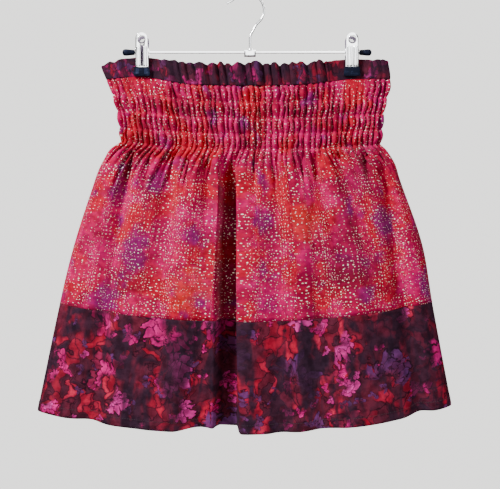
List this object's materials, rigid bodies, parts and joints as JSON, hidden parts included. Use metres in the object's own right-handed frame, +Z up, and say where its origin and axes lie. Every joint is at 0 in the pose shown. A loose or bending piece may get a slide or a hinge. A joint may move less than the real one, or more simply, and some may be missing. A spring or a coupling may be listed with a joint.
{
  "type": "batik skirt on clip hanger",
  "caption": "Gathered skirt with a shirred waist, a standing frill and a deep hem band, held flat by a clip hanger.",
  "frame": {"origin": "the inside top of the hanger's hook, where it rests on a rail", "axes": "+Z up, -Y towards someone facing the front of the skirt, +X to their right"},
  "size_m": [0.5375, 0.0715, 0.5672],
  "materials": {
    "floral_cloth": "dark plum printed batik",
    "speckled_cloth": "red batik with metallic specks",
    "chrome": "polished",
    "rubber": "satin"
  },
  "bodies": {
    "root": {"frill_front": "floral_cloth", "frill_back": "floral_cloth", "hem_band_front": "floral_cloth", "hem_band_back": "floral_cloth", "shirring_front": "speckled_cloth", "shirring_back": "speckled_cloth", "body_front": "speckled_cloth", "body_back": "speckled_cloth", "hanger_rod": "chrome", "hanger_hook": "chrome", "hanger_saddle": "chrome", "clip_spring_left": "chrome", "clip_spring_right": "chrome", "clip_plate_left_front": "chrome", "clip_plate_left_back": "chrome", "clip_plate_right_front": "chrome", "clip_plate_right_back": "chrome", "rod_cap_left": "rubber", "rod_cap_right": "rubber", "clip_boot_left_front": "rubber", "clip_boot_left_back": "rubber", "clip_boot_right_front": "rubber", "clip_boot_right_back": "rubber"}
  },
  "joints": []
}
